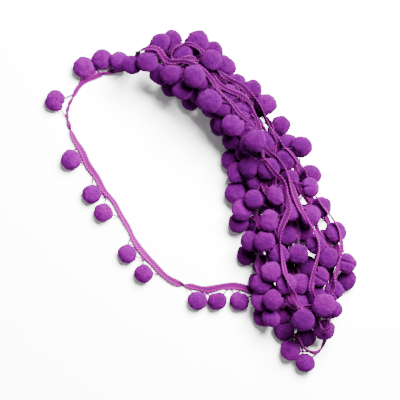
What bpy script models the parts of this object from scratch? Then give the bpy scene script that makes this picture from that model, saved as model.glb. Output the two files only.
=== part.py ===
"""A hank of pompom fringe trim lying on a table: one long narrow braid with pompoms tied along one edge.

The braid is laid back and forth in twelve runs, and one turn has fallen loose to the left.
The tables below are in millimetres, seen from above with +Y up the page, and the solids are in metres.
The braid is cut into short stretches, each one solid with the pompoms that it carries.
"""

import math

import bmesh
import bpy
import numpy as np
from mathutils import Matrix, Vector

MM = 0.001

# The trim
POMPOM_RADIUS = 7.7
BRAID_WIDTH = 4.6
BRAID_THICKNESS = 1.2
BRAID_REACH = math.hypot(BRAID_WIDTH, BRAID_THICKNESS) / 2
HANG = 11.4  # from the braid's middle to a pompom's centre
SPACING = 25.0  # along the braid from one pompom to the next
STEPS_PER_POMPOM = 4
STEP = SPACING / STEPS_PER_POMPOM
GOLDEN = (1 + math.sqrt(5)) / 2
FLAT_SHARE = math.sqrt(1 - 1 / (3 * GOLDEN**2))  # how near a face lies to the centre

# How it is cut and coloured
POMPOMS_PER_STRETCH = 6
POMPOMS_PER_LOOSE_STRETCH = 3
CUT = 0.3
PURPLE = (0.27, 0.042, 0.31, 1.0)
YARN_ROUGHNESS = 0.9
SMOOTH_UP_TO = math.radians(50)

# The hank's middle line, and how far to each side of it the pompoms' centres reach
SECTIONS = np.array([  # x, y, half width
    (-84, 105, 3),
    (-64, 107, 5),
    (-44, 112, 12),
    (-18, 106, 18),
    (8, 89, 17),
    (30, 67, 17),
    (46, 40, 21),
    (56, 12, 33),
    (67, -23, 39),
    (74, -54, 40),
    (76, -80, 31),
    (84, -102, 13),
    (82, -122, 5),
], float)
SECTION_STEP = 2.0
CURVE_STEPS = 24  # from each point of a table to the next

# The runs, in the order they are laid, each over the last. A run goes from one share of the hank's
# length to another, and its lanes are shares of the half width at even places: 1 is the upper right edge.
RUNS = [  # start, end, sway, lanes
    (0.16, 0.84, 2, (0.2, 0.7, 0.1, 0.4, -0.2, 0.2)),
    (0.88, 0.16, 3, (0.5, 0.9, 0.6, 0.9, 0.5, 0.8)),
    (0.13, 0.78, 3, (-0.2, -0.6, -0.4, -0.7, -0.8, -0.6)),
    (0.88, 0.22, 3, (-0.2, 0.0, -0.4, 0.0, -0.2, 0.2)),
    (0.14, 0.95, 3, (0.6, 0.6, 0.8, 0.4, 0.8, 0.4)),
    (0.92, 0.52, 3, (0.1, -0.1, 0.2, 0.0)),
    (0.50, 0.92, 3, (-0.4, -0.7, -0.5, -0.6)),
    (0.90, 0.18, 4, (-0.3, -0.8, -0.3, -0.2, -0.3, -0.2)),
    (0.12, 0.86, 4, (0.5, 0.1, 0.4, 0.1, -0.6, -0.4)),
    (0.84, 0.20, 4, (0.7, 0.9, 0.7, 0.6, 0.8, 0.7)),
    (0.14, 0.97, 5, (-0.1, 0.4, 0.2, 0.4, 0.3, 0.2)),
    (0.93, 0.12, 5, (0.6, -0.5, 0.1, -0.1, -0.1, 0.3)),
]
RUN_POINT_SPACING = 14.0
SWAY_LENGTH = 58.0
SWAY_SHIFT = 2.4
LAID_HEIGHT = 7.0  # how far above the last run each one starts, before it settles

# The loose turn on the table, from the hank's tip round to where it goes back in
LOOSE_ROUTE = np.array([  # x, y, z
    (-66, 105, 17),
    (-84, 101, 18),
    (-98, 94, 17),
    (-108, 82, 9),
    (-112, 68, 4),
    (-106, 53, 4),
    (-97, 36, 4),
    (-86, 17, 4),
    (-75, 2, 4),
    (-66, -16, 4),
    (-56, -33, 4),
    (-46, -47, 4),
    (-34, -58, 4),
    (-22, -66, 4),
    (-10, -68, 4),
    (2, -71, 4),
    (12, -69, 4),
    (24, -68, 4),
], float)
# The last stretch, from there to the braid's cut end
TAIL_ROUTE = np.array([  # x, y, z
    (40, -72, 10),
    (58, -84, 14),
    (72, -98, 16),
    (88, -100, 14),
    (104, -104, 8),
    (105, -114, 6),
    (95, -121, 8),
    (83, -120, 10),
    (74, -110, 12),
], float)

# The pompoms of the loose turn and then of the last stretch, where they show one by one
PLACED_POMPOMS = np.array([  # x, y, z
    (-63, 114, 7),
    (-81, 106, 7),
    (-93, 100, 7),
    (-119, 82, 7),
    (-111, 34, 7),
    (-91, 4, 7),
    (-81, -10, 7),
    (-60, -41, 7),
    (-48, -61, 7),
    (-7, -78, 7),
    (10, -78, 7),
    (33, -72, 7),
    (48, -92, 8),
    (66, -108, 9),
    (84, -110, 9),
    (91, -132, 7),
    (72, -121, 8),
], float)
MOST_STEPS_AHEAD = 10  # from one placed pompom's root to the next

# Which way the pompoms hang at first: to the hank's inner side and turned down from level
SEED = 8
INNER_SIDE = np.array([-0.78, -0.62, 0.0])
DOWN_TURN = 0.45
MOST_TURN = 1.0

# How the laid trim settles. Each share is how much of an error one round mends, and a pair of shares
# is the one at the first round and the one after the laying.
LAYING_ROUNDS = 700
EASING_ROUNDS = 300
CLEARING_ROUNDS = 250
ROUNDS_PER_SEARCH = 6
SEARCH_REACH = 3.0
CLEARANCE = 0.4
FALL = 0.12
BRAID_FALL = 0.07
HANK_HOMING = 0.04
LOOSE_HOMING = 0.15
LEAST_HOMING_WEIGHT = 0.15
DRAWING_IN = (0.4, 0.05)
BRAID_SPARE = 3.0  # how far past the pompoms' half width the braid may lie
BENDING = (0.15, 0.06)
SHARP_BEND = 0.3  # a bend's depth, as a share of a step, past which it is smoothed more
MOST_SHARP_BENDING = 0.5
PUSHING = (0.9, 1.3)
STEP_HOLD = 0.4
SQUARE_HOLD = 0.3
POMPOM_HOLD = 0.6
ROOT_HOLD = 0.12
TINY = 1e-9


def unit(vectors):
    return vectors / np.linalg.norm(vectors, axis=-1, keepdims=True)


def smooth_curve(points):
    """A Catmull-Rom curve through the points."""
    padded = np.vstack([2 * points[0] - points[1], points, 2 * points[-1] - points[-2]])
    t = np.linspace(0, 1, CURVE_STEPS, endpoint=False)[:, None]
    pieces = []
    for a, b, c, d in zip(padded, padded[1:], padded[2:], padded[3:]):
        square = (2 * a - 5 * b + 4 * c - d) * t**2
        cube = (3 * b - a - 3 * c + d) * t**3
        pieces.append((2 * b + (c - a) * t + square + cube) / 2)
    return np.vstack([*pieces, points[-1:]])


def even_points(line, step):
    lengths = np.linalg.norm(np.diff(line, axis=0), axis=1)
    along = np.concatenate([[0], np.cumsum(lengths)])
    stations = np.linspace(0, along[-1], round(along[-1] / step) + 1)
    return np.stack([np.interp(stations, along, column) for column in line.T], axis=1)


def left_sides(line):
    """The level direction to the left of each point's way along the line."""
    way = unit(np.gradient(line[:, :2], axis=0))
    return np.stack([-way[:, 1], way[:, 0]], axis=1)


HANK_LINE = even_points(smooth_curve(SECTIONS), SECTION_STEP)
HANK_SIDE = left_sides(HANK_LINE)
HANK_LENGTH = SECTION_STEP * len(HANK_LINE)


def place_in_hank(station, lane, sway):
    """The x and y at a share of the hank's length and a share of its half width, plus a sway."""
    row = station * (len(HANK_LINE) - 1)
    rows = np.arange(len(HANK_LINE))
    x, y, half_width = (np.interp(row, rows, column) for column in HANK_LINE.T)
    side_x, side_y = (np.interp(row, rows, column) for column in HANK_SIDE.T)
    out = lane * half_width + sway
    return x + side_x * out, y + side_y * out


def hank_route():
    points = []
    for number, (start, end, sway, lanes) in enumerate(RUNS):
        length = abs(end - start) * HANK_LENGTH
        for share in np.linspace(0, 1, round(length / RUN_POINT_SPACING)):
            lane = np.interp(share, np.linspace(0, 1, len(lanes)), lanes)
            phase = share * length / SWAY_LENGTH * math.tau + SWAY_SHIFT * number
            x, y = place_in_hank(start + (end - start) * share, lane, sway * math.sin(phase))
            points.append((x, y, LAID_HEIGHT * (number + share)))
    return np.array(points)


def root_middles(braid, roots):
    return (braid[roots] + braid[roots + 1]) / 2


def hanging_ways(braid, roots):
    """Where each pompom hangs at first: square to the braid, mostly down and to the hank's inner side."""
    rng = np.random.default_rng(SEED)
    turn = DOWN_TURN
    ways = []
    for along in unit(braid[roots + 1] - braid[roots]):
        side = unit(np.cross(along, (0, 0, 1)))
        if (side * INNER_SIDE).sum() < 0:
            side = -side
        down = np.cross(along, side)
        if down[2] > 0:
            down = -down
        turn = (turn + DOWN_TURN) / 2 + rng.uniform(-MOST_TURN, MOST_TURN)
        ways.append(side * math.cos(turn) + down * math.sin(turn))
    return np.array(ways)


def lay_braid():
    """The braid's points, the point before each root, the pompoms' centres, and which lie in the hank."""
    line = smooth_curve(np.vstack([hank_route(), LOOSE_ROUTE, TAIL_ROUTE]))
    braid = even_points(line, STEP)
    leaves = int(np.argmin(np.linalg.norm(braid - LOOSE_ROUTE[0], axis=1)))
    returns = int(np.argmin(np.linalg.norm(braid - LOOSE_ROUTE[-1], axis=1)))

    roots = list(range(2, leaves - STEPS_PER_POMPOM, STEPS_PER_POMPOM))
    placed = slice(len(roots), len(roots) + len(PLACED_POMPOMS))
    for spot in PLACED_POMPOMS:
        ahead = np.arange(roots[-1] + 2, min(roots[-1] + MOST_STEPS_AHEAD, len(braid) - 1))
        roots.append(int(ahead[np.argmin(np.linalg.norm(root_middles(braid, ahead) - spot, axis=1))]))
    roots = np.array(roots)

    ways = hanging_ways(braid, roots)
    ways[placed] = unit(PLACED_POMPOMS - root_middles(braid, roots)[placed])
    pompoms = root_middles(braid, roots) + ways * HANG
    braid_in_hank = np.ones(len(braid), bool)
    braid_in_hank[leaves - 2 : returns + 3] = False
    pompom_in_hank = np.ones(len(roots), bool)
    pompom_in_hank[placed] = False
    # Rounded, so that the last bit of a sine can't change how the pile settles
    return np.round(braid, 6), roots, np.round(pompoms, 6), braid_in_hank, pompom_in_hank


def near_pairs(points, first, second, reach, pieces_of_braid):
    """Pairs of steps or pompoms that may touch. A step doesn't count with its neighbours."""
    middle = (points[first] + points[second]) / 2
    half = np.linalg.norm(points[second] - points[first], axis=1) / 2 + reach
    apart = np.linalg.norm(middle[:, None] - middle[None], axis=2)
    near = apart < half[:, None] + half[None] + SEARCH_REACH
    order = np.arange(pieces_of_braid)
    near[:pieces_of_braid, :pieces_of_braid] &= np.abs(order[:, None] - order[None]) > 2
    return np.nonzero(np.triu(near, 1))


def push_apart(points, first, second, reach, pairs):
    """How each point moves so that touching pieces part, found from the nearest points of each pair."""
    i, j = pairs
    along_i = points[second[i]] - points[first[i]]
    along_j = points[second[j]] - points[first[j]]
    between = points[first[i]] - points[first[j]]
    ii, jj, ij = (along_i**2).sum(-1), (along_j**2).sum(-1), (along_i * along_j).sum(-1)
    ib, jb = (along_i * between).sum(-1), (along_j * between).sum(-1)
    s = np.clip((ij * jb - ib * jj) / np.maximum(ii * jj - ij * ij, TINY), 0, 1)
    t = np.clip((ij * s + jb) / np.maximum(jj, TINY), 0, 1)
    s = np.clip((ij * t - ib) / np.maximum(ii, TINY), 0, 1)
    gap = between + along_i * s[:, None] - along_j * t[:, None]
    distance = np.maximum(np.linalg.norm(gap, axis=1), TINY)
    overlap = np.clip(reach[i] + reach[j] + CLEARANCE - distance, 0, None)
    push = gap * (overlap / distance / 2)[:, None]
    move = np.zeros_like(points)
    np.add.at(move, first[i], push * (1 - s)[:, None])
    np.add.at(move, second[i], push * s[:, None])
    np.add.at(move, first[j], -push * (1 - t)[:, None])
    np.add.at(move, second[j], -push * t[:, None])
    return move


def draw_in(points, inside, spare, share):
    """Brings points that stray past the hank's half width back towards it."""
    strays = points[inside]
    offset = strays[:, None, :2] - HANK_LINE[None, :, :2]
    near = np.argmin((offset**2).sum(-1), axis=1)
    side = ((strays[:, :2] - HANK_LINE[near, :2]) * HANK_SIDE[near]).sum(-1)
    past = np.clip(np.abs(side) - HANK_LINE[near, 2] - spare, 0, None)
    strays[:, :2] -= HANK_SIDE[near] * (np.sign(side) * past * share)[:, None]
    points[inside] = strays


def hold_shape(braid, pompoms, roots, bend_share):
    """Keeps the braid's steps and the pompoms' hanging length, and smooths the braid's bends."""
    steps = np.diff(braid, axis=0)
    fix = steps * (1 - STEP / np.linalg.norm(steps, axis=1, keepdims=True)) * STEP_HOLD
    braid[:-1] += fix
    braid[1:] -= fix
    sag = (braid[:-2] + braid[2:]) / 2 - braid[1:-1]
    sharpness = np.linalg.norm(sag, axis=1, keepdims=True) / STEP - SHARP_BEND
    braid[1:-1] += sag * (bend_share + np.clip(sharpness, 0, MOST_SHARP_BENDING))
    middles = root_middles(braid, roots)
    along = unit(braid[roots + 1] - braid[roots])
    hang = pompoms - middles
    hang -= along * (hang * along).sum(-1, keepdims=True) * SQUARE_HOLD
    pull = middles + unit(hang) * HANG - pompoms
    pompoms += pull * POMPOM_HOLD
    braid[roots] -= pull * ROOT_HOLD
    braid[roots + 1] -= pull * ROOT_HOLD


def eased(shares, weight):
    first, last = shares
    return last + (first - last) * weight


def settle(braid, roots, pompoms, braid_in_hank, pompom_in_hank):
    """Lets the laid runs fall on each other, then eases them apart until nothing touches."""
    count = len(braid)
    points = np.vstack([braid, pompoms])
    home = braid[:, :2].copy()
    braid, pompoms = points[:count], points[count:]
    balls = count + np.arange(len(pompoms))
    first = np.concatenate([np.arange(count - 1), balls])
    second = np.concatenate([np.arange(1, count), balls])
    reach = np.concatenate([np.full(count - 1, BRAID_REACH), np.full(len(pompoms), POMPOM_RADIUS)])
    homing = np.where(braid_in_hank, HANK_HOMING, LOOSE_HOMING)[:, None]
    for turn in range(LAYING_ROUNDS + EASING_ROUNDS + CLEARING_ROUNDS):
        if turn % ROUNDS_PER_SEARCH == 0:
            pairs = near_pairs(points, first, second, reach, count - 1)
        weight = max(0.0, 1 - turn / LAYING_ROUNDS)
        if turn < LAYING_ROUNDS + EASING_ROUNDS:
            pompoms[:, 2] -= FALL * math.sqrt(weight)
            braid[:, 2] -= BRAID_FALL * math.sqrt(weight)
            braid[:, :2] += (home - braid[:, :2]) * homing * max(weight, LEAST_HOMING_WEIGHT)
            draw_in(pompoms, pompom_in_hank, 0, eased(DRAWING_IN, weight))
            draw_in(braid, braid_in_hank, BRAID_SPARE, eased(DRAWING_IN, weight))
            hold_shape(braid, pompoms, roots, eased(BENDING, weight))
        points += push_apart(points, first, second, reach, pairs) * eased(PUSHING, weight)
        pompoms[:, 2] = np.maximum(pompoms[:, 2], POMPOM_RADIUS * FLAT_SHARE)
        braid[:, 2] = np.maximum(braid[:, 2], BRAID_REACH)
    return braid, pompoms


def carried(way, along):
    """The direction made square to the braid."""
    return unit(way - along * (way * along).sum())


def turned(vector, axis, angle):
    """The vector, which is square to the axis, turned about it."""
    return vector * math.cos(angle) + np.cross(axis, vector) * math.sin(angle)


def width_ways(braid, roots, pompoms):
    """The direction across the braid's width at each point, which faces the pompom at a root."""
    along = unit(np.gradient(braid, axis=0))
    ways = np.zeros_like(braid)
    hang = pompoms - root_middles(braid, roots)
    for root, way in zip(roots, hang):
        for point in (root, root + 1):
            ways[point] = carried(way, along[point])
    for point in range(roots[0] - 1, -1, -1):
        ways[point] = carried(ways[point + 1], along[point])
    for point in range(roots[-1] + 2, len(braid)):
        ways[point] = carried(ways[point - 1], along[point])
    for root, following in zip(roots[:-1] + 1, roots[1:]):
        for point in range(root + 1, following):
            ways[point] = carried(ways[point - 1], along[point])
        reached = carried(ways[following - 1], along[following])
        sine = (np.cross(reached, ways[following]) * along[following]).sum()
        twist = math.atan2(sine, (reached * ways[following]).sum())
        for point in range(root + 1, following):
            share = (point - root) / (following - root)
            ways[point] = turned(ways[point], along[point], twist * share)
    return along, ways


def at_row(rows, values, where):
    return np.array([np.interp(where, rows, column) for column in values.T])


def section_matrix(middle, along, way):
    """Places a braid section: its width on X, its thickness on Y and the braid's way on Z."""
    way = carried(way, along)
    turn = Matrix((way, np.cross(along, way), along)).transposed().to_4x4()
    size = Matrix.Diagonal((BRAID_WIDTH * MM, BRAID_THICKNESS * MM, MM, 1))
    return Matrix.Translation(Vector(middle) * MM) @ turn @ size


def extrude_braid(bm, sections, rooted):
    """Sweeps the braid through its sections and returns its edge faces after the rooted ones."""
    made = bmesh.ops.create_grid(bm, x_segments=1, y_segments=1, size=0.5, matrix=sections[0])
    face = made["verts"][0].link_faces[0]
    edge_faces = []
    for number, (placed, following) in enumerate(zip(sections, sections[1:])):
        made = bmesh.ops.extrude_face_region(bm, geom=[face])["geom"]
        if number > 0:
            bmesh.ops.delete(bm, geom=[face], context="FACES_ONLY")
        face = next(item for item in made if isinstance(item, bmesh.types.BMFace))
        bmesh.ops.transform(bm, matrix=following @ placed.inverted(), verts=face.verts)
        if rooted[number]:
            sides = {side for edge in face.edges for side in edge.link_faces} - {face}
            outward = placed.to_3x3() @ Vector((1, 0, 0))
            edge_faces.append(max(sides, key=lambda side: side.calc_center_median().dot(outward)))
    return edge_faces


def pompom_turn():
    """Turns an icosphere so that one of its nearest faces points straight down."""
    bm = bmesh.new()
    bmesh.ops.create_icosphere(bm, subdivisions=2, radius=1)
    nearest = min(bm.faces, key=lambda face: face.calc_center_median().length)
    turn = nearest.normal.rotation_difference(Vector((0, 0, -1))).to_matrix().to_4x4()
    bm.free()
    return turn


def tie_pompom(bm, centre, turn, edge_face):
    """Adds a pompom and joins its face nearest the braid to the braid's edge."""
    place = Matrix.Translation(Vector(centre) * MM) @ turn
    made = bmesh.ops.create_icosphere(bm, subdivisions=2, radius=POMPOM_RADIUS * MM, matrix=place)
    faces = {face for vert in made["verts"] for face in vert.link_faces}
    bmesh.ops.recalc_face_normals(bm, faces=list(faces))
    to_braid = edge_face.calc_center_median() - Vector(centre) * MM
    facing = max(faces, key=lambda face: face.normal.dot(to_braid))
    rims = list(edge_face.edges) + list(facing.edges)
    bmesh.ops.delete(bm, geom=[edge_face, facing], context="FACES_ONLY")
    bmesh.ops.bridge_loops(bm, edges=rims)


def cut_rows(roots, pompom_in_hank):
    """Where the braid is cut, as places between its points: midway between two pompoms."""
    cuts = []
    held = 0
    for number in range(len(roots) - 1):
        held += 1
        most = POMPOMS_PER_STRETCH if pompom_in_hank[number] else POMPOMS_PER_LOOSE_STRETCH
        if held >= most and len(roots) - number > 2:
            cuts.append((roots[number] + 1 + roots[number + 1]) / 2)
            held = 0
    return cuts


def stretch_mesh(name, braid, along, ways, rows, roots, pompoms, turn):
    """One stretch of braid between two rows, with its pompoms."""
    all_rows = np.arange(len(braid))
    inner = [row for row in all_rows if rows[0] < row < rows[1]]
    stations = [rows[0], *inner, rows[1]]
    sections = []
    for row in stations:
        middle, way_on, width = (at_row(all_rows, values, row) for values in (braid, along, ways))
        sections.append(section_matrix(middle, unit(way_on), width))
    held = [number for number, root in enumerate(roots) if rows[0] < root < rows[1]]
    bm = bmesh.new()
    rooted = [row in roots[held] for row in stations]
    edge_faces = extrude_braid(bm, sections, rooted)
    for number, edge_face in zip(held, edge_faces):
        tie_pompom(bm, pompoms[number], turn, edge_face)
    bmesh.ops.recalc_face_normals(bm, faces=bm.faces)
    mesh = bpy.data.meshes.new(name)
    bm.to_mesh(mesh)
    bm.free()
    mesh.shade_smooth()
    mesh.set_sharp_from_angle(angle=SMOOTH_UP_TO)
    return mesh


def yarn_material():
    material = bpy.data.materials.new("purple_yarn")
    material.use_nodes = True
    shader = material.node_tree.nodes["Principled BSDF"]
    shader.inputs["Base Color"].default_value = PURPLE
    shader.inputs["Roughness"].default_value = YARN_ROUGHNESS
    shader.inputs["Metallic"].default_value = 0.0
    return material


def main():
    for obj in list(bpy.data.objects):
        bpy.data.objects.remove(obj, do_unlink=True)
    braid, roots, pompoms, braid_in_hank, pompom_in_hank = lay_braid()
    braid, pompoms = settle(braid, roots, pompoms, braid_in_hank, pompom_in_hank)
    # The outermost points are all pompoms, so their centres give the middle of the whole
    middle = (pompoms.min(axis=0) + pompoms.max(axis=0)) / 2 * (1, 1, 0)
    braid, pompoms = braid - middle, pompoms - middle
    along, ways = width_ways(braid, roots, pompoms)

    cuts = cut_rows(roots, pompom_in_hank)
    half_cut = CUT / STEP / 2
    starts = [0, *(cut + half_cut for cut in cuts)]
    ends = [*(cut - half_cut for cut in cuts), len(braid) - 1]
    material = yarn_material()
    turn = pompom_turn()
    for number, rows in enumerate(zip(starts, ends)):
        name = f"stretch_{number + 1:02d}"
        mesh = stretch_mesh(name, braid, along, ways, rows, roots, pompoms, turn)
        mesh.materials.append(material)
        bpy.context.collection.objects.link(bpy.data.objects.new(name, mesh))


main()
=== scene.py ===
"""Looks of the pompom fringe trim: a woven braid with corded rims, tie threads and felted pompoms.

The braid's way and the pompoms' places are read from the solids of the frame, one stretch after another.
"""

import math

import bmesh
import bpy
import numpy as np
from mathutils import Matrix, Vector, noise


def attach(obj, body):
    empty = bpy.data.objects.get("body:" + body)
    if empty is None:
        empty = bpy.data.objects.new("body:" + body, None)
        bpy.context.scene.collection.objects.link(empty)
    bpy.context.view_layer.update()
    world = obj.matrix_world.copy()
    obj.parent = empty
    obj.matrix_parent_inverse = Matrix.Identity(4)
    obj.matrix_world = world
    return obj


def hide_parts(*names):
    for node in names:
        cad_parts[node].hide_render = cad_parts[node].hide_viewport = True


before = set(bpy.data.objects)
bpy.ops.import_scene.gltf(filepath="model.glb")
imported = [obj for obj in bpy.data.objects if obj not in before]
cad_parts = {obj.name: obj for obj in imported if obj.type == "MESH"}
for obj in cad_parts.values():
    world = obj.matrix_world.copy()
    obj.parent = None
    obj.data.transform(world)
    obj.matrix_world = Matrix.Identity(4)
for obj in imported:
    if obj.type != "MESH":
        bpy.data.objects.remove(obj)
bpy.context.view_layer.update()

MM = 0.001
SEED = 41
rng = np.random.default_rng(SEED)

# The trim's sizes, as its solids have them
POMPOM_RADIUS = 7.7 * MM
BRAID_WIDTH = 4.6 * MM
BRAID_THICKNESS = 1.2 * MM
SIZE_ERROR = 0.002 * MM
MERGE_WITHIN = 0.01 * MM
SEAM_WIDTH = 0.001 * MM
SAME_CENTRE = 0.1 * MM
FACETS_THAT_AGREE = 60  # of a pompom's 79

# The braid
BRAID_STEP = 0.6 * MM
BRAID_SIDES = 16
ROUNDING_PASSES = 34
SHADE_PASSES = 400
PLAIT = 2.4 * MM  # along the braid from one of its slanting ribs to the next
RIB_SLANT = 1.1  # how many ribs it crosses from its middle to its edge
MIDDLE_HEIGHT = 0.36 * MM
RIM_HEIGHT = 0.3 * MM
RIM_PLACE = 0.78
RIM_WIDTH = 0.2
RIM_TWIST = 0.26
RIB_HEIGHT = 0.16 * MM
SCALLOP = 0.1
HANK_WIDTH = 0.92  # as a share of the solid's width
LOOSE_WIDTH = 1.08
WIDTH_CHANGE = 0.2
CURL = 0.6 * MM
LEAN = 0.8  # most the braid leans to either side of how its solid lies
LEAN_ON_FLOOR = 0.3  # as a share of it
FREE_HEIGHT = 12 * MM  # from here on it leans freely
HANK_SWAY = 2.2 * MM
LOOSE_SWAY = 1.0 * MM
SWAY_WAVE = 12 * MM
JOIN_GAP = 0.01 * MM
HANK_SHADED_TONE = 0.24  # painted shade on the dense hank; the tone runs from 0, darkest, to 1, brightest
SHADE_TO_NARROW_END = 90 * MM  # the hank's painted shade deepens, its tone falling to 0, over this length towards its narrow end
# Painted light: the loose turn is lighter than the hank, and one stretch of it lighter still
LOOSE_LIT_TONE = 0.5
BRIGHTEST_LIT_TONE = 0.9
BRIGHTEST_LIT_STRETCH = (3265 * MM, 3400 * MM)
POMPOM_TONE_CHANGE = 0.26
TONE_CHANGE = 0.12
TONE_WAVE = 30 * MM
# Where it is twisted: from, to, half turns, width as a share
TWISTS = (
    (3232 * MM, 3276 * MM, 5, 0.62),
    (3196 * MM, 3212 * MM, 1, 0.8),
    (3418 * MM, 3432 * MM, 1, 0.85),
)
LOOSE_FROM = 3190 * MM
TWIST_EVERY = 110 * MM
TWIST_LENGTH = (12 * MM, 30 * MM)
TWISTED_WIDTH = (0.6, 0.85)

# The tie threads
THREAD_RADIUS = 0.6 * MM
THREAD_SIDES = 5
THREAD_STATIONS = 7
THREAD_SPREAD = (7.5 * MM, 11.5 * MM)  # along the rim from the pompom's root
THREAD_SAG = 0.8 * MM
THREAD_RIBS = 12
THREAD_HOLD = 0.8  # of the way from the braid's middle to its edge

# The pompoms
SHAPES = 12
SHAPE_SUBDIVISIONS = 5
FIBRES = 50
FIBRE_LENGTH = (0.10, 0.19)  # as shares of the radius, as all of a shape's sizes are
FIBRE_RADIUS = 0.011
FIBRE_TILT = 0.7
POMPOM_SIZE = (1.01, 1.16)
POMPOM_SQUASH = (0.88, 1.0)
FLOOR_GAP = 0.03 * MM

# What the camera sees
CAMERA_X = -0.9 * MM
CAMERA_Y = 2.2 * MM
CAMERA_HEIGHT = 900 * MM
VIEW_WIDTH = 320 * MM
VIEW_LEVEL = 7 * MM
SENSOR = 36.0
FLOOR_SIZE = 12.0


# Reading the stretches


def merged_copy(node):
    bm = bmesh.new()
    bm.from_mesh(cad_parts[node].data)
    bmesh.ops.remove_doubles(bm, verts=bm.verts, dist=MERGE_WITHIN)
    return bm


def centre_behind(face):
    """Where the middle of a ball of the pompoms' size lies if the face is one of its facets."""
    a, b, c = (vert.co for vert in face.verts)
    ab = b - a
    ac = c - a
    across = ab.cross(ac)
    out = across.cross(ab) * ac.length_squared + ac.cross(across) * ab.length_squared
    out /= 2 * across.length_squared
    depth = POMPOM_RADIUS**2 - out.length_squared
    if depth < 0:
        return None
    return a + out - face.normal * math.sqrt(depth)


def pompom_centres(bm):
    """The places that most facets agree on."""
    guesses = [centre_behind(face) for face in bm.faces]
    guesses = np.array([guess for guess in guesses if guess is not None])
    near = np.linalg.norm(guesses[:, None] - guesses, axis=2) < SAME_CENTRE
    centres = []
    left = near.sum(axis=1) > FACETS_THAT_AGREE
    while left.any():
        group = near[np.argmax(left)]
        centres.append(Vector(guesses[group].mean(axis=0)))
        left &= ~group
    return centres


def partner(vert, length):
    """The corner at the other end of the braid's edge of this length."""
    for edge in vert.link_edges:
        if abs(edge.calc_length() - length) < SIZE_ERROR:
            return edge.other_vert(vert)


def section_order(sections, corners):
    """The sections' numbers from one end of the stretch to the other."""
    home = {corner: number for number, section in enumerate(sections) for corner in section}
    beside = [set() for _ in sections]
    for corner in corners:
        for edge in corner.link_edges:
            other = home.get(edge.other_vert(corner))
            if other is not None and other != home[corner]:
                beside[home[corner]].add(other)
    order = [next(number for number, others in enumerate(beside) if len(others) == 1)]
    while len(order) < len(sections):
        order.append(next(number for number in beside[order[-1]] if number not in order))
    return order, home


def read_stretch(node):
    """The middles and width vectors of the braid's sections, and each pompom's centre and place along them."""
    bm = merged_copy(node)
    centres = pompom_centres(bm)
    balls = [
        {vert for vert in bm.verts if abs((vert.co - centre).length - POMPOM_RADIUS) < SIZE_ERROR}
        for centre in centres
    ]
    corners = [vert for vert in bm.verts if not any(vert in ball for ball in balls)]
    sections = []
    placed = set()
    for corner in corners:
        if corner in placed:
            continue
        under = partner(corner, BRAID_THICKNESS)
        section = (corner, under, partner(corner, BRAID_WIDTH), partner(under, BRAID_WIDTH))
        sections.append(section)
        placed.update(section)
    order, home = section_order(sections, corners)
    rank = {number: place for place, number in enumerate(order)}
    middles = []
    widths = []
    for number in order:
        a, b, c, d = (corner.co for corner in sections[number])
        middles.append((a + b + c + d) / 4)
        widths.append((c + d - a - b).normalized())
    roots = []
    for ball in balls:
        linked = {edge.other_vert(vert) for vert in ball for edge in vert.link_edges} - ball
        roots.append(np.mean([rank[home[corner]] for corner in linked]))
    bm.free()
    return np.array(middles), np.array(widths), roots, centres


def whole_braid(names):
    """The braid's points and width vectors end to end, where each stretch lies, and every pompom's root."""
    stretches = [read_stretch(name) for name in names]
    following = stretches[1][0]
    points = stretches[0][0]
    if np.linalg.norm(points[0] - following, axis=1).min() < np.linalg.norm(points[-1] - following, axis=1).min():
        end = points[0] * 2 - points[-1]
    else:
        end = points[0]
    path = []
    ways = []
    spans = []
    pompoms = []
    for middles, widths, roots, centres in stretches:
        near_end = path[-1] if path else end
        if np.linalg.norm(middles[-1] - near_end) < np.linalg.norm(middles[0] - near_end):
            middles, widths = middles[::-1], widths[::-1]
            roots = [len(middles) - 1 - root for root in roots]
        if path:
            path[-1] = (path[-1] + middles[0]) / 2
            start = len(path) - 1
            middles, widths = middles[1:], widths[1:]
        else:
            start = 0
        for middle, width in zip(middles, widths):
            if ways and (width * ways[-1]).sum() < 0:
                width = -width
            path.append(middle)
            ways.append(width)
        spans.append((start, len(path) - 1))
        pompoms.append([(start + root, centre) for root, centre in zip(roots, centres)])
    return np.array(path), np.array(ways), spans, pompoms


def unit(vectors):
    return vectors / np.linalg.norm(vectors, axis=-1, keepdims=True)


def rounded(values, passes):
    """The values after this many rounds of mixing each with its neighbours, with the ends kept."""
    values = values.copy()
    for _ in range(passes):
        values[1:-1] = (values[:-2] + 2 * values[1:-1] + values[2:]) / 4
    return values


def at_stations(stations, where, values):
    return np.stack([np.interp(where, stations, column) for column in values.T], axis=-1)


def slow_noise(stations, wave):
    """Smooth random values between about -1 and 1, that change over this length."""
    knots = np.arange(stations[0] - wave, stations[-1] + 2 * wave, wave)
    return rounded(np.interp(stations, knots, rng.uniform(-1.4, 1.4, len(knots))), ROUNDING_PASSES)


def eased(values):
    """A smooth rise from 0 to 1."""
    values = np.clip(values, 0, 1)
    return values * values * (3 - 2 * values)


def all_twists():
    """The twists of the loose turn and some more in the hank."""
    twists = list(TWISTS)
    for start in np.arange(TWIST_EVERY, LOOSE_FROM - TWIST_EVERY, TWIST_EVERY):
        start += rng.uniform(-0.3, 0.3) * TWIST_EVERY
        twists.append((start, start + rng.uniform(*TWIST_LENGTH), rng.choice((-1, 1)), rng.uniform(*TWISTED_WIDTH)))
    return twists


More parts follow.
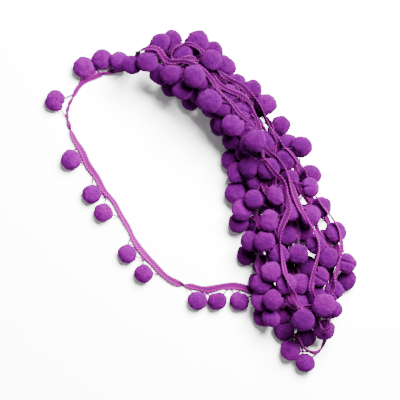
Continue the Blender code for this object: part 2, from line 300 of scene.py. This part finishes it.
names = sorted(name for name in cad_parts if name.startswith("stretch"))
raw_path, raw_ways, spans, stretch_pompoms = whole_braid(names)
raw_lengths = np.concatenate([[0], np.cumsum(np.linalg.norm(np.diff(raw_path, axis=0), axis=1))])
raw_numbers = np.arange(len(raw_lengths))
stations = np.linspace(0, raw_lengths[-1], round(raw_lengths[-1] / BRAID_STEP) + 1)
path = rounded(at_stations(raw_lengths, stations, raw_path), ROUNDING_PASSES)
along = unit(np.gradient(path, axis=0))
across = rounded(at_stations(raw_lengths, stations, raw_ways), ROUNDING_PASSES)
across = unit(across - along * (across * along).sum(axis=1, keepdims=True))
sway_now = rounded(np.where(stations < LOOSE_FROM, HANK_SWAY, LOOSE_SWAY), ROUNDING_PASSES)
path = path + across * (sway_now * slow_noise(stations, SWAY_WAVE))[:, None]
along = unit(np.gradient(path, axis=0))
across = unit(across - along * (across * along).sum(axis=1, keepdims=True))
width_now = rounded(np.where(stations < LOOSE_FROM, HANK_WIDTH, LOOSE_WIDTH), ROUNDING_PASSES)
width_now = width_now + WIDTH_CHANGE * slow_noise(stations, 9 * MM)
height_now = np.ones(len(stations))
curl_now = CURL * slow_noise(stations, 14 * MM)
freedom = LEAN_ON_FLOOR + (1 - LEAN_ON_FLOOR) * eased(path[:, 2] / FREE_HEIGHT)
roll = LEAN * freedom * slow_noise(stations, 22 * MM)
for first, last, half_turns, width in all_twists():
    share = (stations - first) / (last - first)
    roll += half_turns * math.pi * eased(share)
    width_now *= 1 - (1 - width) * eased(4 * share) * eased(4 - 4 * share)
    height_now += (1 / width - 1) * eased(4 * share) * eased(4 - 4 * share)
upright = np.cross(along, across)
across, upright = (
    across * np.cos(roll)[:, None] + upright * np.sin(roll)[:, None],
    upright * np.cos(roll)[:, None] - across * np.sin(roll)[:, None],
)
# Painted shade and light along the trim: the hank darker, more so towards its narrow end, the loose turn and one
# stretch of it lighter; a random change of tone comes on top
hank_painted_shade = HANK_SHADED_TONE * (1 - eased(path[:, 1] / SHADE_TO_NARROW_END))
shade_and_tone_now = np.where(stations < LOOSE_FROM, hank_painted_shade, LOOSE_LIT_TONE)
shade_and_tone_now = np.where((stations > BRIGHTEST_LIT_STRETCH[0]) & (stations < BRIGHTEST_LIT_STRETCH[1]), BRIGHTEST_LIT_TONE, shade_and_tone_now)
shade_and_tone_now = rounded(shade_and_tone_now, SHADE_PASSES)
shade_and_tone_now = np.clip(shade_and_tone_now + TONE_CHANGE * slow_noise(stations, TONE_WAVE), 0, 1)
edge_now = (width_now * BRAID_WIDTH / 2)[:, None]
reach_down = np.abs(across[:, 2]) * edge_now[:, 0] + np.abs(upright[:, 2]) * MIDDLE_HEIGHT
path[:, 2] = np.maximum(path[:, 2], reach_down)


# The braid and its threads

YARN_VALUES = ("rim", "rib", "shade_and_tone")


def wrapped_grid(bm, sides, rows, place):
    """Wraps a grid round into an open tube. place gives its points and their rim, rib and shade-and-tone values,
    the last one painted shade and light with random tone.
    """
    made = bmesh.ops.create_grid(bm, x_segments=sides, y_segments=rows, size=1)["verts"]
    grid = np.array([vert.co for vert in made])
    shares = (grid[:, :2] + 1) / 2
    layers = [bm.verts.layers.float[name] for name in YARN_VALUES]
    for vert, point, *values in zip(made, *place(shares[:, 0], shares[:, 1])):
        vert.co = point
        for layer, value in zip(layers, values):
            vert[layer] = value
    seam = [vert for vert, share in zip(made, shares[:, 0]) if share < 0.25 / sides or share > 1 - 0.25 / sides]
    bmesh.ops.remove_doubles(bm, verts=seam, dist=SEAM_WIDTH)


def braid_places(first, last):
    """Places a stretch of the braid between two lengths along it."""

    def place(round_share, along_share):
        where = first + (last - first) * along_share
        turn = round_share * math.tau
        middle, side, up = (at_stations(stations, where, values) for values in (path, across, upright))
        width, tall, curl = (np.interp(where, stations, values) for values in (width_now, height_now, curl_now))
        out = np.cos(turn)
        rise = np.sign(np.sin(turn)) * np.abs(np.sin(turn)) ** 0.5
        plait = where / PLAIT * math.tau
        hand = np.sign(out)
        rim = np.exp(-(((np.abs(out) - RIM_PLACE) / RIM_WIDTH) ** 2))
        twist = 1 + RIM_TWIST * np.sin(plait + hand * math.pi / 2 + turn)
        rib = where / PLAIT + np.abs(out) * RIB_SLANT
        height = MIDDLE_HEIGHT + RIM_HEIGHT * rim * twist + RIB_HEIGHT * (1 - rim) * np.sin(rib * math.tau)
        scallop = 1 + SCALLOP * np.sin(plait + hand * math.pi / 2) * np.abs(out)
        out_now = out * scallop * width * BRAID_WIDTH / 2
        up_now = rise * height * tall + curl * (out**2 - 0.4)
        points = middle + side * out_now[:, None] + up * up_now[:, None]
        points[:, 2] = np.maximum(points[:, 2], FLOOR_GAP)
        return points, rim, rib, np.interp(where, stations, shade_and_tone_now)

    return place


def on_braid(length):
    """The braid's middle and the way from there to its edge at a length along it."""
    return (at_stations(stations, np.array([length]), values)[0] for values in (path, across * edge_now))


def thread_places(centre, target, shade_and_tone):
    """Places a tie thread from inside its pompom to the braid's rim."""
    start = np.array(centre) + (target - np.array(centre)) * 0.3
    line = target - start
    side = unit(np.cross(line, (0.3, 0.1, 1.0)))
    other = unit(np.cross(side, line))
    bow = rng.uniform(-1, 1) * THREAD_SAG

    def place(round_share, along_share):
        turn = round_share * math.tau
        bulge = np.sin(along_share * math.pi)
        middle = start + line * along_share[:, None] + side * (bow * bulge)[:, None]
        radius = THREAD_RADIUS * (1 + 0.15 * np.sin(along_share * 21 + turn))
        points = middle + side * (radius * np.cos(turn))[:, None] + other * (radius * np.sin(turn))[:, None]
        points[:, 2] = np.maximum(points[:, 2], FLOOR_GAP)
        # the rib value puts painted shade in the grooves of the thread's twist
        return points, np.zeros(len(points)), along_share * THREAD_RIBS + round_share, np.full(len(points), shade_and_tone)

    return place


def finished(name, bm, node, material):
    """Makes the piece that stands for a node's solid, shaded smooth."""
    bmesh.ops.recalc_face_normals(bm, faces=bm.faces)
    mesh = bpy.data.meshes.new(name)
    bm.to_mesh(mesh)
    bm.free()
    mesh.shade_smooth()
    mesh.set_sharp_from_angle(angle=math.radians(75))
    mesh.materials.append(material)
    piece = bpy.data.objects.new(name, mesh)
    bpy.context.collection.objects.link(piece)
    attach(piece, "root")
    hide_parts(node)
    return piece


def make_braid(number, node, material):
    bm = bmesh.new()
    for name in YARN_VALUES:
        bm.verts.layers.float.new(name)
    first, last = np.interp(spans[number], raw_numbers, raw_lengths)
    rows = round((last - first) / BRAID_STEP)
    wrapped_grid(bm, BRAID_SIDES, rows, braid_places(first + JOIN_GAP, last - JOIN_GAP))
    for root, centre in stretch_pompoms[number]:
        for hand in (-1, 1):
            length = np.interp(root, raw_numbers, raw_lengths) + hand * rng.uniform(*THREAD_SPREAD)
            middle, to_edge = on_braid(length)
            facing = np.sign(to_edge @ (np.array(centre) - middle))
            target = middle + to_edge * facing * THREAD_HOLD
            # The thread takes the braid's painted shade and light where it is tied
            shade_and_tone = np.interp(length, stations, shade_and_tone_now)
            wrapped_grid(bm, THREAD_SIDES, THREAD_STATIONS, thread_places(centre, target, shade_and_tone))
    bmesh.ops.holes_fill(bm, edges=[edge for edge in bm.edges if edge.is_boundary])
    return finished(f"braid_{number + 1:02d}", bm, node, material)


# The pompoms


def pompom_shape(number):
    """A felted pompom of radius 1 whose top is tied to the braid, with loose fibres."""
    bm = bmesh.new()
    bmesh.ops.create_icosphere(bm, subdivisions=SHAPE_SUBDIVISIONS, radius=1)
    seed = Vector(rng.uniform(-40, 40, 3))
    crease_turn = rng.uniform(0, math.tau)
    crease_way = Vector((math.cos(crease_turn), math.sin(crease_turn), rng.uniform(-0.25, 0.25))).normalized()
    crease_depth = rng.uniform(0.16, 0.28) if number % 3 == 0 else rng.uniform(0.0, 0.05)
    for vert in bm.verts:
        way = vert.co.normalized()
        lumps = 0.10 * noise.noise(way * 1.3 + seed) + 0.05 * noise.noise(way * 2.8 + seed)
        tufts = 0.024 * noise.noise(way * 7 + seed) + 0.020 * noise.noise(way * 15 + seed)
        from_crease = way.dot(crease_way)
        crease = crease_depth * math.exp(-((from_crease / 0.13) ** 2)) * max(0.0, 0.35 + 0.65 * way.z)
        tied = 0.12 * max(0.0, way.z - 0.75) / 0.25
        vert.co = way * (1 + lumps + tufts - crease - tied)
    ends = [vert.co.copy() for vert in bm.verts]
    for end in rng.choice(len(ends), FIBRES, replace=False):
        root = ends[end]
        way = (root.normalized() + Vector(rng.normal(0, FIBRE_TILT, 3))).normalized()
        if way.dot(root) < 0.2:
            continue
        length = rng.uniform(*FIBRE_LENGTH)
        turn = Vector((0, 0, 1)).rotation_difference(way).to_matrix().to_4x4()
        place = Matrix.Translation(root * 0.985 + way * length / 2) @ turn
        bmesh.ops.create_cone(
            bm, cap_ends=True, segments=3, radius1=FIBRE_RADIUS, radius2=0, depth=length, matrix=place
        )
    mesh = bpy.data.meshes.new(f"pompom_shape_{number}")
    bm.to_mesh(mesh)
    bm.free()
    return mesh


def make_pompoms(number, node, shapes, material):
    bm = bmesh.new()
    shade_and_tone = bm.verts.layers.float.new("shade_and_tone")
    for root, centre in stretch_pompoms[number]:
        to_braid = (Vector(at_stations(raw_numbers, np.array([root]), raw_path)[0]) - centre).normalized()
        turn = Vector((0, 0, 1)).rotation_difference(to_braid).to_matrix().to_4x4()
        spin = Matrix.Rotation(rng.uniform(0, math.tau), 4, "Z")
        radius = POMPOM_RADIUS * rng.uniform(*POMPOM_SIZE)
        squash = rng.uniform(*POMPOM_SQUASH)
        size = Matrix.Diagonal((radius, radius * rng.uniform(0.94, 1.04), radius * squash, 1))
        start = len(bm.verts)
        bm.from_mesh(shapes[rng.integers(len(shapes))])
        bm.verts.ensure_lookup_table()
        added = bm.verts[start:]
        bmesh.ops.transform(bm, matrix=Matrix.Translation(centre) @ turn @ spin @ size, verts=added)
        # Each pompom takes the painted shade and light of its place on the braid, with a random change of tone
        shade_and_tone_here = np.interp(np.interp(root, raw_numbers, raw_lengths), stations, shade_and_tone_now)
        shade_and_tone_here = max(0.0, shade_and_tone_here + POMPOM_TONE_CHANGE * rng.uniform(-1, 1))
        for vert in added:
            vert[shade_and_tone] = shade_and_tone_here
            vert.co.z = max(vert.co.z, FLOOR_GAP)
    return finished(f"pompoms_{number + 1:02d}", bm, node, material)


# Materials


def new_material(name):
    material = bpy.data.materials.new(name)
    material.use_nodes = True
    nodes = material.node_tree.nodes
    return material, nodes, material.node_tree.links, nodes["Principled BSDF"]


def colour_mix(nodes, links, share, low, high):
    mix = nodes.new("ShaderNodeMix")
    mix.data_type = "RGBA"
    links.new(share, mix.inputs[0])
    for socket, colour in ((mix.inputs[6], low), (mix.inputs[7], high)):
        if isinstance(colour, tuple):
            socket.default_value = (*colour, 1)
        else:
            links.new(colour, socket)
    return mix.outputs[2]


def noise_at(nodes, links, scale, detail, roughness=0.5):
    place = nodes.new("ShaderNodeTexCoord")
    texture = nodes.new("ShaderNodeTexNoise")
    texture.inputs["Scale"].default_value = scale
    texture.inputs["Detail"].default_value = detail
    texture.inputs["Roughness"].default_value = roughness
    links.new(place.outputs["Object"], texture.inputs["Vector"])
    return texture.outputs["Fac"]


def stretched(nodes, links, value, low, high):
    """The value's range from low to high made 0 to 1."""
    node = nodes.new("ShaderNodeMapRange")
    node.inputs["From Min"].default_value = low
    node.inputs["From Max"].default_value = high
    links.new(value, node.inputs["Value"])
    return node.outputs["Result"]


def wave(nodes, links, value):
    """The sine of the value counted in whole turns."""
    turns = nodes.new("ShaderNodeMath")
    turns.operation = "MULTIPLY"
    turns.inputs[1].default_value = math.tau
    sine = nodes.new("ShaderNodeMath")
    sine.operation = "SINE"
    links.new(value, turns.inputs[0])
    links.new(turns.outputs[0], sine.inputs[0])
    return sine.outputs[0]


def attribute(nodes, name):
    node = nodes.new("ShaderNodeAttribute")
    node.attribute_name = name
    return node.outputs["Fac"]


def bump(nodes, links, shader, height, strength, distance):
    node = nodes.new("ShaderNodeBump")
    node.inputs["Strength"].default_value = strength
    node.inputs["Distance"].default_value = distance
    links.new(height, node.inputs["Height"])
    links.new(node.outputs["Normal"], shader.inputs["Normal"])


def pompom_felt():
    """Dense cut yarn, dull, with a soft sheen and fine mottling."""
    material, nodes, links, shader = new_material("pompom_felt")
    blotches = stretched(nodes, links, noise_at(nodes, links, 260, 3), 0.3, 0.7)
    fibres = stretched(nodes, links, noise_at(nodes, links, 1300, 4, 0.7), 0.34, 0.66)
    hue = stretched(nodes, links, noise_at(nodes, links, 75, 1), 0.35, 0.65)
    # The shade-and-tone attribute picks between dark and light copies of each colour: painted shade and light along
    # the trim, with random tone
    shade_and_tone = attribute(nodes, "shade_and_tone")
    low = colour_mix(nodes, links, shade_and_tone, (0.006, 0.0001, 0.009), (0.018, 0.0001, 0.024))
    dull = colour_mix(nodes, links, shade_and_tone, (0.015, 0.0001, 0.021), (0.045, 0.0001, 0.052))
    purple = colour_mix(nodes, links, shade_and_tone, (0.025, 0.0001, 0.035), (0.070, 0.0002, 0.086))
    magenta = colour_mix(nodes, links, shade_and_tone, (0.032, 0.0001, 0.033), (0.098, 0.0002, 0.086))
    high = colour_mix(nodes, links, blotches, dull, colour_mix(nodes, links, hue, purple, magenta))
    links.new(colour_mix(nodes, links, fibres, low, high), shader.inputs["Base Color"])
    shader.inputs["Roughness"].default_value = 0.95
    shader.inputs["Specular IOR Level"].default_value = 0
    shader.inputs["Sheen Weight"].default_value = 0.06
    shader.inputs["Sheen Roughness"].default_value = 0.5
    shader.inputs["Sheen Tint"].default_value = (0.80, 0.05, 0.85, 1)
    bump(nodes, links, shader, fibres, 0.9, 0.45 * MM)
    return material


def braid_yarn():
    """Smooth twisted yarn, brighter along the corded rims, with painted shade in the grooves between its ribs."""
    material, nodes, links, shader = new_material("braid_yarn")
    plies = stretched(nodes, links, noise_at(nodes, links, 1100, 3, 0.65), 0.34, 0.66)
    # The shade-and-tone attribute picks between dark and light copies of each colour: painted shade and light along
    # the trim, with random tone
    shade_and_tone = attribute(nodes, "shade_and_tone")
    middle_low = colour_mix(nodes, links, shade_and_tone, (0.008, 0.0001, 0.010), (0.040, 0.0001, 0.037))
    middle_high = colour_mix(nodes, links, shade_and_tone, (0.017, 0.0001, 0.018), (0.086, 0.0002, 0.073))
    rim_low = colour_mix(nodes, links, shade_and_tone, (0.028, 0.0001, 0.026), (0.105, 0.0003, 0.082))
    rim_high = colour_mix(nodes, links, shade_and_tone, (0.085, 0.0002, 0.072), (0.230, 0.0006, 0.165))
    # Painted shade: the grooves between the braid's slanting ribs, and between the threads' twists, are darkened
    painted_groove_shade = colour_mix(nodes, links, shade_and_tone, (0.005, 0.0001, 0.006), (0.030, 0.0001, 0.030))
    middle = colour_mix(nodes, links, plies, middle_low, middle_high)
    rims = colour_mix(nodes, links, plies, rim_low, rim_high)
    colour = colour_mix(nodes, links, attribute(nodes, "rim"), middle, rims)
    ribs = stretched(nodes, links, wave(nodes, links, attribute(nodes, "rib")), -0.9, 0.1)
    links.new(colour_mix(nodes, links, ribs, painted_groove_shade, colour), shader.inputs["Base Color"])
    shader.inputs["Roughness"].default_value = 0.75
    shader.inputs["Specular IOR Level"].default_value = 0.02
    shader.inputs["Sheen Weight"].default_value = 0.03
    shader.inputs["Sheen Roughness"].default_value = 0.4
    shader.inputs["Sheen Tint"].default_value = (0.90, 0.10, 0.90, 1)
    bump(nodes, links, shader, plies, 0.8, 0.35 * MM)
    return material


# The pieces

felt = pompom_felt()
yarn = braid_yarn()
shapes = [pompom_shape(number) for number in range(SHAPES)]
for number, node in enumerate(names):
    make_braid(number, node, yarn)
    make_pompoms(number, node, shapes, felt)
for shape in shapes:
    bpy.data.meshes.remove(shape)


# The floor, the light and the camera


def make_floor():
    bm = bmesh.new()
    bmesh.ops.create_grid(bm, x_segments=1, y_segments=1, size=FLOOR_SIZE / 2)
    mesh = bpy.data.meshes.new("floor")
    bm.to_mesh(mesh)
    bm.free()
    material, _, _, shader = new_material("pale_floor")
    shader.inputs["Base Color"].default_value = (0.93, 0.93, 0.93, 1)
    shader.inputs["Roughness"].default_value = 0.8
    mesh.materials.append(material)
    floor = bpy.data.objects.new("floor", mesh)
    bpy.context.collection.objects.link(floor)


def make_light(name, place, size, power):
    """A square soft light that faces the trim."""
    light = bpy.data.lights.new(name, "AREA")
    light.size = size
    light.energy = power
    lamp = bpy.data.objects.new(name, light)
    lamp.location = place
    lamp.rotation_euler = Vector(place).to_track_quat("Z", "Y").to_euler()
    bpy.context.collection.objects.link(lamp)


def make_world(strength):
    world = bpy.data.worlds.new("studio")
    world.use_nodes = True
    background = world.node_tree.nodes["Background"]
    background.inputs["Color"].default_value = (1, 1, 1, 1)
    background.inputs["Strength"].default_value = strength
    bpy.context.scene.world = world


def make_camera():
    camera = bpy.data.cameras.new("camera")
    camera.sensor_width = SENSOR
    camera.lens = SENSOR * (CAMERA_HEIGHT - VIEW_LEVEL) / VIEW_WIDTH
    holder = bpy.data.objects.new("camera", camera)
    holder.location = (CAMERA_X, CAMERA_Y, CAMERA_HEIGHT)
    bpy.context.collection.objects.link(holder)
    bpy.context.scene.camera = holder


make_floor()
make_light("key", (0.22, 0.32, 0.66), 0.35, 125)
make_world(0.42)
make_camera()
